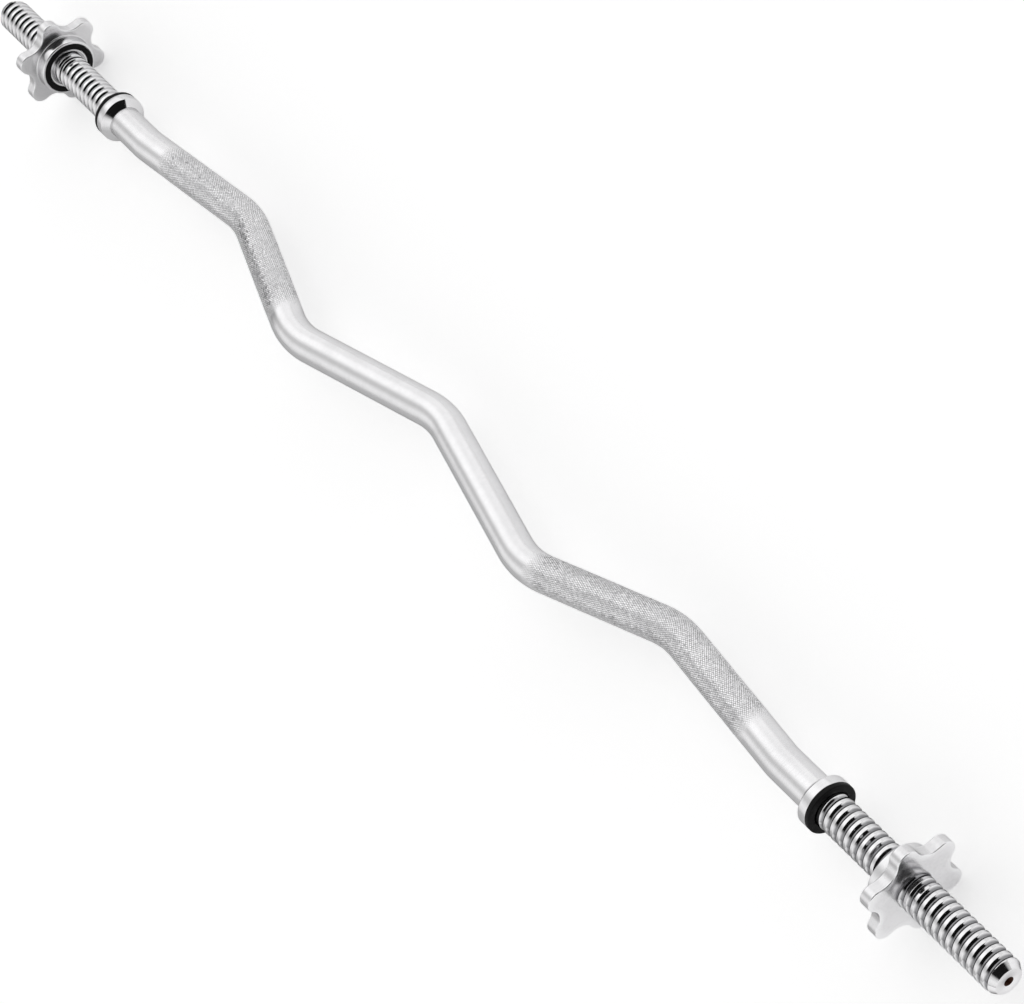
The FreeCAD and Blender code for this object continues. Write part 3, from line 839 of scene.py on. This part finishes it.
DARK_TONE = 0.008
PAPER_TONE = (0.8, 0.8, 0.8, 1)
FLOOR_GLOW = 0.475
# Painted shadow on the floor, seen only in reflections: the glow from the -Y to the +Y side of the
# bar.
PAINTED_SHADOW_GLOW = (0.03, 0.33)
ACROSS_BAR = (-0.03, 0.03)
BEFORE_NUT = (0.505, 0.52)

scene = bpy.context.scene
scene.view_settings.view_transform = "Standard"

floor_mesh = bpy.data.meshes.new("floor")
floor_corners = [(-FLOOR_HALF, -FLOOR_HALF, 0), (FLOOR_HALF, -FLOOR_HALF, 0),
                 (FLOOR_HALF, FLOOR_HALF, 0), (-FLOOR_HALF, FLOOR_HALF, 0)]
floor_mesh.from_pydata(floor_corners, [], [(0, 1, 2, 3)])
floor = bpy.data.objects.new("floor", floor_mesh)
scene.collection.objects.link(floor)
material = bpy.data.materials.new("white_floor")
material.use_nodes = True
tree = material.node_tree
tree.nodes.clear()
paper = add(tree, "BsdfDiffuse", Color=PAPER_TONE)
path = add(tree, "LightPath")
place = add(tree, "SeparateXYZ", Vector=add(tree, "NewGeometry").outputs["Position"])
# Painted shadow for the metal: reflected glow drops beside the bar, darkest on the -Y side, and is
# full again in front of the right nut.
shadowed_glow = spread(tree, place.outputs["Y"], *ACROSS_BAR, *PAINTED_SHADOW_GLOW)
shadowed_glow = spread(tree, place.outputs["X"], *BEFORE_NUT, shadowed_glow, FLOOR_GLOW)
strength = spread(tree, path.outputs["Is Camera Ray"], 0.0, 1.0, shadowed_glow, FLOOR_GLOW)
glow = add(tree, "Emission", Color=(1, 1, 1, 1), Strength=strength)
both = add(tree, "AddShader")
connect(tree, both.inputs[0], paper.outputs[0])
connect(tree, both.inputs[1], glow.outputs[0])
seen = calc(tree, "MAXIMUM", path.outputs["Is Camera Ray"], path.outputs["Is Glossy Ray"])
seen = calc(tree, "MAXIMUM", seen, path.outputs["Is Transmission Ray"])
choice = add(tree, "MixShader", Fac=seen)
connect(tree, choice.inputs[1], paper.outputs[0])
connect(tree, choice.inputs[2], both.outputs[0])
add(tree, "OutputMaterial", Surface=choice.outputs[0])
floor_mesh.materials.append(material)

world = bpy.data.worlds.new("studio")
scene.world = world
world.use_nodes = True
tree = world.node_tree
tree.nodes.clear()
way = add(tree, "TexCoord").outputs["Generated"]
parts = add(tree, "SeparateXYZ", Vector=way)
round_bar = calc(tree, "ARCTAN2", parts.outputs["Y"], parts.outputs["Z"])
boxes = add(tree, "ValToRGB", Fac=spread(tree, round_bar, -math.pi, math.pi))
steps = boxes.color_ramp.elements
while len(steps) > 1:
    steps.remove(steps[-1])
for turn, tone in SOFT_BOXES:
    step = steps.new((turn + 180) / 360)
    step.color = (tone, tone, tone, 1)
steps.remove(steps[0])
heading = Vector((CAMERA_PLACE.x, CAMERA_PLACE.y, 0)).normalized()


def towards(direction):
    """How far each direction of the sky leans towards another."""
    made = add(tree, "VectorMath", {"operation": "DOT_PRODUCT"})
    connect(tree, made.inputs[0], way)
    connect(tree, made.inputs[1], direction)
    return made.outputs["Value"]


aside = towards(Vector((-heading.y, heading.x, 0)))
left, right = DARK_SIDES
past_left = spread(tree, aside, left - DARK_SOFTNESS, left + DARK_SOFTNESS)
past_right = spread(tree, aside, right + DARK_SOFTNESS, right - DARK_SOFTNESS)
in_front = calc(tree, "MULTIPLY", past_left, past_right)
in_front = calc(tree, "MULTIPLY", in_front, spread(tree, towards(heading), *DARK_FRONT))
far_end = spread(tree, parts.outputs["X"], *DARK_END)
dark = calc(tree, "MAXIMUM", in_front, far_end)
lit = spread(tree, dark, to_low=1.0, to_high=DARK_TONE)
tone = calc(tree, "MULTIPLY", boxes.outputs[0], lit)
path = add(tree, "LightPath")
tone = calc(tree, "MAXIMUM", tone, path.outputs["Is Camera Ray"])
background = add(tree, "Background", Strength=tone)
add(tree, "OutputWorld", Surface=background.outputs[0])

camera = bpy.data.objects.new("camera", bpy.data.cameras.new("camera"))
scene.collection.objects.link(camera)
camera.data.lens = CAMERA_LENS
camera.data.sensor_width = SENSOR_WIDTH
camera.data.clip_end = FARTHEST_SEEN
back = CAMERA_RIGHT.cross(CAMERA_UP)
camera.matrix_world = Matrix((
    (CAMERA_RIGHT.x, CAMERA_UP.x, back.x, CAMERA_PLACE.x),
    (CAMERA_RIGHT.y, CAMERA_UP.y, back.y, CAMERA_PLACE.y),
    (CAMERA_RIGHT.z, CAMERA_UP.z, back.z, CAMERA_PLACE.z),
    (0, 0, 0, 1),
))
scene.camera = camera
